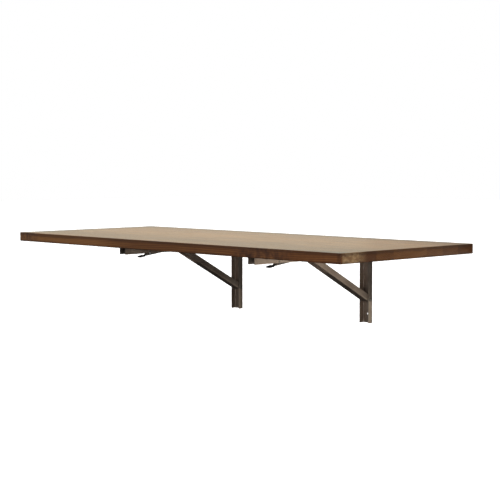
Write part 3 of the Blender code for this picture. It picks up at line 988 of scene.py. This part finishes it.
def brace(side):
    low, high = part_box(side + "_brace")
    width = high.x - low.x
    ear = level(PIN)
    outline = [(0, -BRACE_BACK - BEND), (ear[0], -BRACE_BACK - BEND), (ear[0], -BRACE_BACK)]
    outline += arc(ear, BRACE_EAR_RADIUS, *BRACE_EAR_ARC, EAR_STEPS)
    outline += [(ear[0] - 2 * ear[1], BRACE_RISE), (0, BRACE_RISE)]
    outline += arc((0, 0), BRACE_BACK, 180, 270, BRACE_FOOT_STEPS)
    section = [(x, h - BRACE_BACK) for x, h in channel_section(width, BRACE_SHEET, 2 * ear[1])]
    holes = cross_hole(PIN_HOLE, ear, cross_hole(PIN_HOLE, (0, 0)))
    inner = width / 2 - BRACE_SHEET
    fork = [(ear[0] - BRACE_FORK, -2 * BRACE_BACK), (2 * ear[0], -2 * BRACE_BACK)]
    fork += [(2 * ear[0], BEND - BRACE_BACK), (ear[0] - BRACE_FORK, BEND - BRACE_BACK)]
    holes = prism(fork, -inner, inner, "x", holes)
    ends = (-2 * BRACE_BACK, ear[0] + 2 * BRACE_EAR_RADIUS)
    move = (SIDE_X[side], -PIVOT[0], PIVOT[1])
    turn = Matrix.Rotation(-BRACE_TILT, 4, "X")
    return bent_channel(f"{side}_brace_rail", section, *ends, "u", outline, holes, move, turn)


for side in SIDES:
    dress(brace(side), STEEL, side + "_brace", "bronze_steel", side + "_brace")

# %% [markdown]
# The release lever is a thin flat bar that hangs from a rivet by an eye. Its rear end comes up to the
# slide pin, and its front end bends down a little and carries a dipped grip. It is drawn level about the
# rivet, with the bend as a wide arc, and then tilted.

# %% Release levers
LEVER_WIDTH = 0.014
LEVER_SHEET = 0.003
LEVER_DROP = 0.0112
LEVER_BEND = 0.008
LEVER_TIP = 0.0284
LEVER_DIP = 2.5
LEVER_EYE = 0.0055
LEVER_FOOT = 0.003
LEVER_CURVE = 0.150
LEVER_EASE = 0.0004
LEVER_TOP = LEVER_SHEET / 2 - LEVER_DROP
LEVER_LOW = LEVER_TOP - LEVER_SHEET


def lever_rear():
    """Length of the bar behind the rivet, and its slope, from the bar's highest point in the frame."""
    _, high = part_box("left_release_lever")
    back, rise = LEVER[0] + high.y, high.z - LEVER[1]
    length = math.sqrt(back * back + rise * rise - LEVER_TOP * LEVER_TOP)
    return length, math.atan2(rise, back) - math.atan2(LEVER_TOP, length)


LEVER_BACK, LEVER_SLOPE = lever_rear()
LEVER_TURN = Matrix.Rotation(LEVER_SLOPE, 4, "X")
LEVER_PLACE = {side: (SIDE_X[side], -LEVER[0], LEVER[1]) for side in SIDES}


def lever_outline():
    start = LEVER_BEND - LEVER_CURVE * math.tan(math.radians(LEVER_DIP / 2))
    heart = (start, LEVER_LOW - LEVER_CURVE)
    under = arc(heart, LEVER_CURVE, 90, 90 - LEVER_DIP, CORNER_STEPS)
    over = arc(heart, LEVER_CURVE + LEVER_SHEET, 90 - LEVER_DIP, 90, CORNER_STEPS)
    dip = math.radians(LEVER_DIP)
    ahead = Vector((math.cos(dip), -math.sin(dip)))
    corner = Vector((LEVER_BEND, LEVER_LOW)) + LEVER_TIP * ahead
    upper = corner + LEVER_SHEET * Vector((-ahead.y, ahead.x))
    outline = [(-LEVER_BACK, LEVER_LOW)] + under + [tuple(corner), tuple(upper)]
    outline += [p for p in over if p[0] > LEVER_EYE + LEVER_FOOT]
    outline += [(LEVER_EYE, LEVER_TOP + LEVER_FOOT)]
    outline += arc((0, 0), LEVER_EYE, 0, 180, EAR_STEPS)
    outline += [(-LEVER_EYE, LEVER_TOP + LEVER_FOOT), (-LEVER_EYE - LEVER_FOOT, LEVER_TOP)]
    return outline + [(-LEVER_BACK, LEVER_TOP)]


def release_lever(side):
    made = solid(f"{side}_lever_bar", prism(lever_outline(), -LEVER_WIDTH / 2, LEVER_WIDTH / 2, "x"))
    punch = solid("lever_hole", cross_hole(LEVER_RIVET_HOLE, (0, 0)))
    cut(made, punch)
    soften(made, LEVER_EASE)
    made = plain(made, punch, move=LEVER_PLACE[side], turn=LEVER_TURN)
    mark_edges(made, LEVER_EASE)
    # Painted shade over the whole lever bar, which sits between the arm's flanges
    mark_shaded(made, SIDE_X[side], LEVER_WIDTH)
    return made


for side in SIDES:
    dress(release_lever(side), STEEL, side + "_lever", "bronze_steel", side + "_release_lever")

# %% [markdown]
# The grip is made by dipping, so it has a round nose, soft sides and a thick rim where the vinyl drew
# back. It is one skin: rings run from the nose to the rim over the outside, and back in along the pocket
# that holds the bar.

# %% Lever grips
GRIP_LENGTH = 0.0195
GRIP_WALL = 0.0012
GRIP_ROUND = 0.98
NOSE_STEPS = 8
NOSE_SHRINK = 0.92
RIM_SWELL = 0.0005
RIM_SHAPE = ((0.004, 0), (0.0025, 0.7), (0.0012, 1), (0.0003, 0.6), (0, 0))


def rounded_box(half_width, half_height, radius, along):
    """Ring of a box section with round corners, square to u, about the middle of the bar."""
    ring = []
    for x, z, start in ((1, 1, 0), (-1, 1, 90), (-1, -1, 180), (1, -1, 270)):
        centre = (x * (half_width - radius), z * (half_height - radius))
        ring += arc(centre, radius, start, start + 90, CORNER_STEPS)
    return [(p, -along, q + LEVER_SHEET / 2) for p, q in ring]


def lever_grip(side):
    half = LEVER_SHEET / 2 + GRIP_WALL
    wide = LEVER_WIDTH / 2 + half
    front = LEVER_TIP + GRIP_WALL
    rear = front - GRIP_LENGTH
    rings = []
    for step in range(1, NOSE_STEPS + 1):
        turn = math.pi / 2 * step / NOSE_STEPS
        shrink = half * (1 - math.sin(turn))
        height = half - shrink * NOSE_SHRINK
        along = front - half * (1 - math.cos(turn))
        rings.append(rounded_box(wide - shrink, height, height * GRIP_ROUND, along))
    for back, share in RIM_SHAPE:
        swell = RIM_SWELL * share
        height = half + swell
        rings.append(rounded_box(wide + swell, height, height * GRIP_ROUND, rear + back))
    pocket = (LEVER_WIDTH / 2 + HOLE_CLEARANCE, LEVER_SHEET / 2 + HOLE_CLEARANCE, HOLE_CLEARANCE)
    rings += [rounded_box(*pocket, along) for along in (rear, LEVER_TIP + HOLE_CLEARANCE)]
    made = solid(f"{side}_lever_sleeve", skin(rings))
    dip = Matrix.Rotation(math.radians(LEVER_DIP), 4, "X")
    bend = Matrix.Translation((0, -LEVER_BEND, LEVER_LOW)) @ dip
    return plain(made, move=LEVER_PLACE[side], turn=LEVER_TURN @ bend)


for side in SIDES:
    dress(lever_grip(side), VINYL, side + "_lever", "black_vinyl", side + "_lever_grip")

# %% [markdown]
# Rivets, washers, studs and screws repeat, so each kind is modelled once and copied by Geometry Nodes.
# The places are the points of a mesh with a turn for each, and the tree puts a copy on every point.
# Copies that move together become one mesh.

# %% A tree that sets copies at places
TURN = "turn"
STRAIGHT = (0, 0, 0)
FLIPPED = (0, 0, math.pi)
RIM_ANGLE = math.radians(35)
FULL_SIZE = 1.0


def new_tree(name, inputs):
    """Geometry tree with a geometry in and out, and named inputs given as (name, type)."""
    tree = bpy.data.node_groups.new(name, "GeometryNodeTree")
    for label, kind in (("Geometry", "Geometry"), *inputs, ("Finish", "Material")):
        tree.interface.new_socket(label, in_out="INPUT", socket_type="NodeSocket" + kind)
    tree.interface.new_socket("Geometry", in_out="OUTPUT", socket_type="NodeSocketGeometry")
    return tree, tree_node(tree, "NodeGroupInput").outputs


def end_tree(tree, geometry, finish):
    """Makes the copies real, gives them their finish and ends the tree."""
    real = tree_node(tree, "GeometryNodeRealizeInstances", sockets={0: geometry})
    sockets = {0: real.outputs[0], "Material": finish}
    coated = tree_node(tree, "GeometryNodeSetMaterial", sockets=sockets)
    tree_node(tree, "NodeGroupOutput", sockets={0: coated.outputs[0]})
    return tree


def copies_tree():
    tree, given = new_tree("copies_at_places", (("Piece", "Object"), ("Size", "Float")))
    piece = tree_node(tree, "GeometryNodeObjectInfo", sockets={"Object": given["Piece"]})
    settings = {"data_type": "FLOAT_VECTOR"}
    turn = tree_node(tree, "GeometryNodeInputNamedAttribute", settings, {"Name": TURN})
    turned_by = tree_node(tree, "FunctionNodeEulerToRotation", sockets={0: turn.outputs[0]})
    sockets = {
        "Points": given["Geometry"],
        "Instance": piece.outputs["Geometry"],
        "Rotation": turned_by.outputs[0],
        "Scale": given["Size"],
    }
    copies = tree_node(tree, "GeometryNodeInstanceOnPoints", sockets=sockets)
    return end_tree(tree, copies.outputs[0], given["Finish"])


def run_tree(host, tree, values):
    """Sets the tree's inputs by their identifiers, and makes the result a plain mesh."""
    step = host.modifiers.new(tree.name, "NODES")
    step.node_group = tree
    for item in tree.interface.items_tree:
        if item.name in values:
            step[item.identifier] = values[item.name]
    return plain(host)


COPIES = copies_tree()


def plated_copies(name, piece, body, nodes, places=None, turns=None):
    """One plated mesh of a piece at its nodes' middles, or at other places. The piece itself is removed."""
    places = places or [middle_of(node) for node in nodes]
    mesh = bpy.data.meshes.new(name)
    mesh.from_pydata([tuple(place) for place in places], [], [])
    mark = mesh.attributes.new(TURN, "FLOAT_VECTOR", "POINT")
    for index, turn in enumerate(turns or [STRAIGHT] * len(places)):
        mark.data[index].vector = turn
    values = {"Piece": piece, "Size": FULL_SIZE, "Finish": ZINC}
    made = run_tree(add_object(name, mesh), COPIES, values)
    bpy.data.objects.remove(piece)
    dress(made, ZINC, body, "plated_steel", *nodes)


def sharp_rims(made):
    """Round object, left smooth round it and made sharp at its rims."""
    made.data.set_sharp_from_angle(angle=RIM_ANGLE)
    return made


print("tree", COPIES.name, "with", len(COPIES.nodes), "nodes")

# %% [markdown]
# A rivet has a made head on one side, and on the other the head that the hammer closes, which is a little
# lower and has a dimple. Four of them are the axles of the hinges and of the braces, and washers fill the
# space beside the arms.

# %% Rivets and washers
HEAD_HEIGHT = 0.0026
HEAD_STEPS = 8
HEAD_RIM = 0.08
HEAD_SEAT = 0.97
CLOSED_HEAD = 0.9
DIMPLE_HEIGHT = 0.72
DIMPLE_RADIUS = 0.10


def dome(start, radius, height, side):
    """Profile of a round head that stands out from start, up to a small flat."""
    profile = [(start, radius * HEAD_SEAT), (start + side * height * HEAD_RIM, radius)]
    for step in range(1, HEAD_STEPS):
        turn = math.pi / 2 * step / HEAD_STEPS
        rise = HEAD_RIM + (1 - HEAD_RIM) * math.sin(turn)
        profile.append((start + side * height * rise, radius * math.cos(turn)))
    return profile


def rivet_piece():
    size = size_of("left_hinge_rivet")
    radius = size.z / 2
    seat = size.x / 2 - HEAD_HEIGHT
    closed = dome(-seat, radius, HEAD_HEIGHT * CLOSED_HEAD, -1)
    dimple = [(-seat - HEAD_HEIGHT * DIMPLE_HEIGHT, radius * DIMPLE_RADIUS)]
    shank = [(-seat, PIN_RADIUS), (seat, PIN_RADIUS)]
    profile = dimple + closed[::-1] + shank + dome(seat, radius, HEAD_HEIGHT, 1)
    return sharp_rims(solid("rivet", turned(profile, "x")))


def washer_piece():
    size = size_of("left_hinge_washer_outer")
    half, radius = size.x / 2, size.z / 2
    ease = half / 4
    loop = [(-half, PIN_HOLE), (-half, radius - ease), (ease - half, radius)]
    loop += [(half - ease, radius), (half, radius - ease), (half, PIN_HOLE)]
    return sharp_rims(solid("washer", turned(loop, "x", hollow=True)))


RIVETS = [f"{side}_{kind}_rivet" for side in SIDES for kind in ("hinge", "brace")]
WASHERS = [f"{side}_hinge_washer_{place}" for side in SIDES for place in ("outer", "inner")]
turns = [STRAIGHT if node.startswith("right") else FLIPPED for node in RIVETS]
plated_copies("wall_rivets", rivet_piece(), "wall_frame", RIVETS, turns=turns)
plated_copies("hinge_washers", washer_piece(), "wall_frame", WASHERS)

# %% [markdown]
# The slide pin runs in the slots of the arm, and a stud with a round head holds each ear of the brace in
# line with it. The rivet of the lever is ground flush with the arm so that the ears can pass.

# %% Pins, studs and lever rivets
PIN_BEVEL = PIN_RADIUS / 8
STUD_BEVEL = PIN_RADIUS / 10
RIVET_BEVEL = LEVER_RIVET_RADIUS / 12


def stud_piece():
    size = size_of("right_ear_stud_outer")
    seat = size.x - HEAD_HEIGHT
    profile = [(0, PIN_RADIUS - STUD_BEVEL), (STUD_BEVEL, PIN_RADIUS), (seat, PIN_RADIUS)]
    profile += dome(seat, size.z / 2, HEAD_HEIGHT, 1)
    return sharp_rims(solid("stud", turned(profile, "x")))


def rod_piece(name, node, radius, bevel):
    """Rod as long as a node, bevelled at both ends."""
    half = size_of(node).x / 2
    ends = [(half - bevel, radius), (half, radius - bevel)]
    return sharp_rims(solid(name, turned([(-x, r) for x, r in ends[::-1]] + ends, "x")))


for side in SIDES:
    nodes = [f"{side}_ear_stud_{place}" for place in ("outer", "inner")]
    places, turns = [], []
    for node in nodes:
        low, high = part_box(node)
        middle = middle_of(node)
        outward = middle.x > SIDE_X[side]
        places.append((low.x if outward else high.x, middle.y, middle.z))
        turns.append(STRAIGHT if outward else FLIPPED)
    plated_copies(side + "_brace_studs", stud_piece(), side + "_brace", nodes, places, turns)
    node = side + "_slide_pin"
    pin = rod_piece("pin", node, PIN_RADIUS, PIN_BEVEL)
    plated_copies(side + "_slide_rod", pin, side + "_slide", [node])

LEVER_RIVETS = [side + "_lever_rivet" for side in SIDES]
rivet = rod_piece("flush_rivet", LEVER_RIVETS[0], LEVER_RIVET_RADIUS, RIVET_BEVEL)
plated_copies("lever_rivets", rivet, "leaf", LEVER_RIVETS)

# %% [markdown]
# The screws that hold the worktop have pan heads with a cross recess and a cut thread. The thread is a
# rule: the radius rises and falls with height and slips by one pitch in each turn, so one skin makes the
# whole screw.

# %% Worktop screws
SCREW_HEAD_HEIGHT = 0.0026
SCREW_HEAD = ((-1, 0.50), (-0.97, 0.62), (-0.86, 0.80), (-0.6, 0.94), (-0.25, 1), (0, 0.99), (0, 0.50))
SCREW_PITCH = 0.0016
THREAD_DEPTH = 0.0006
THREAD_STEPS = 8
SCREW_POINT = 0.006
SCREW_TIP = 0.12
RECESS_WIDTH = 0.0011
RECESS_LENGTH = 0.0027
RECESS_DEPTH = 0.0014
RECESS_TAPER = 0.6


def thread_radius(height, turn, length):
    """Radius of the threaded shank, which runs out to a point."""
    phase = (height / SCREW_PITCH - turn / (2 * math.pi)) % 1
    ridge = 1 - min(phase, 1 - phase) * 2
    taper = min(1, max(SCREW_TIP, (length - height) / SCREW_POINT))
    return (SCREW_RADIUS - THREAD_DEPTH * (1 - ridge)) * taper


def screw_rings(head, length):
    """Rings from the middle of the head up to the point, with the seat of the head at the origin."""
    around = [2 * math.pi * i / SCREW_SIDES for i in range(SCREW_SIDES)]
    levels = [(h * SCREW_HEAD_HEIGHT, [r * head] * SCREW_SIDES) for h, r in SCREW_HEAD]
    count = round(length / SCREW_PITCH * THREAD_STEPS)
    for step in range(1, count + 1):
        height = length * step / count
        levels.append((height, [thread_radius(height, t, length) for t in around]))
    return [[(r * math.cos(t), r * math.sin(t), z) for r, t in zip(radii, around)] for z, radii in levels]


def screw_piece():
    size = size_of("left_top_screw_1")
    made = solid("screw", skin(screw_rings(size.x / 2, size.z - SCREW_HEAD_HEIGHT)))
    tools = []
    for axis in ((1, 0), (0, 1)):
        flat = [RECESS_LENGTH * 2 * a + RECESS_WIDTH * (1 - a) for a in axis]
        bm = block((*flat, 2 * RECESS_DEPTH), (0, 0, -SCREW_HEAD_HEIGHT))
        for vert in bm.verts:
            if vert.co.z > -SCREW_HEAD_HEIGHT:
                vert.co.xy *= RECESS_TAPER
        tools.append(solid("recess", bm))
        cut(made, tools[-1])
    return sharp_rims(plain(made, *tools))


places = []
for node in SCREWS:
    middle = middle_of(node)
    places.append((middle.x, middle.y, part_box(node)[0].z + SCREW_HEAD_HEIGHT))
plated_copies("worktop_screws", screw_piece(), "leaf", SCREWS, places)

# %% [markdown]
# A small torsion spring on the rivet presses the lever's bar down at the front. Its wire starts in the
# flange, winds twice round the rivet and ends across the bar. The line of the wire is worked out here,
# and a second tree sweeps a round section along it.

# %% Lever springs
SPRING_TURNS = 2
WIRE_GAP = 0.0005
WIRE_SIDES = 14
WIRE_BEND = 0.4 * WIRE_RADIUS
COIL_STEPS = 72


def wire_tree():
    tree, given = new_tree("wire_along_path", (("Wire radius", "Float"), ("Sides", "Int")))
    line = tree_node(tree, "GeometryNodeMeshToCurve", sockets={0: given["Geometry"]})
    sockets = {"Resolution": given["Sides"], "Radius": given["Wire radius"]}
    section = tree_node(tree, "GeometryNodeCurvePrimitiveCircle", sockets=sockets)
    sockets = {"Curve": line.outputs[0], "Profile Curve": section.outputs[0], "Fill Caps": True}
    wire = tree_node(tree, "GeometryNodeCurveToMesh", sockets=sockets)
    smooth = tree_node(tree, "GeometryNodeSetShadeSmooth", sockets={0: wire.outputs[0]})
    return end_tree(tree, smooth.outputs[0], given["Finish"])


WIRE = wire_tree()


def spring_line(side):
    """Points (x, u, z) of the wire, measured from the rivet: from the flange, round it and over the bar."""
    low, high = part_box(side + "_lever_spring")
    thick = 2 * WIRE_RADIUS
    anchor = high.x - SIDE_X[side]
    outer = anchor - ARM_SHEET - thick
    reach = -(LEVER[0] + low.y) - thick
    drop = low.z + WIRE_RADIUS - LEVER[1]
    leaves = math.atan2(drop, reach) + math.acos(COIL_RADIUS / math.hypot(reach, drop))
    winding = SPRING_TURNS * 2 * math.pi + math.pi / 2 - leaves
    points = [
        (anchor, -SPRING_LEG, COIL_RADIUS),
        (outer + thick, -SPRING_LEG, COIL_RADIUS),
        (outer + WIRE_BEND, WIRE_BEND - SPRING_LEG, COIL_RADIUS),
        (outer, thick - SPRING_LEG, COIL_RADIUS),
    ]
    for step in range(COIL_STEPS + 1):
        swept = winding * step / COIL_STEPS
        turn = math.pi / 2 - swept
        x = outer - (thick + WIRE_GAP) * swept / (2 * math.pi)
        points.append((x, COIL_RADIUS * math.cos(turn), COIL_RADIUS * math.sin(turn)))
    return points + [
        (x, reach - thick * math.sin(leaves), drop + thick * math.cos(leaves)),
        (x - WIRE_BEND, reach + WIRE_BEND, drop),
        (x - thick, reach + WIRE_RADIUS, drop),
        (0, reach + WIRE_RADIUS, drop),
    ]


def lever_spring(side):
    place_x, place_y, place_z = LEVER_PLACE[side]
    points = [(place_x + x, place_y - u, place_z + z) for x, u, z in spring_line(side)]
    mesh = bpy.data.meshes.new(side + "_lever_wire")
    mesh.from_pydata(points, [(i, i + 1) for i in range(len(points) - 1)], [])
    host = add_object(side + "_lever_wire", mesh)
    return run_tree(host, WIRE, {"Wire radius": WIRE_RADIUS, "Sides": WIRE_SIDES, "Finish": ZINC})


for side in SIDES:
    dress(lever_spring(side), ZINC, "leaf", "plated_steel", side + "_lever_spring")
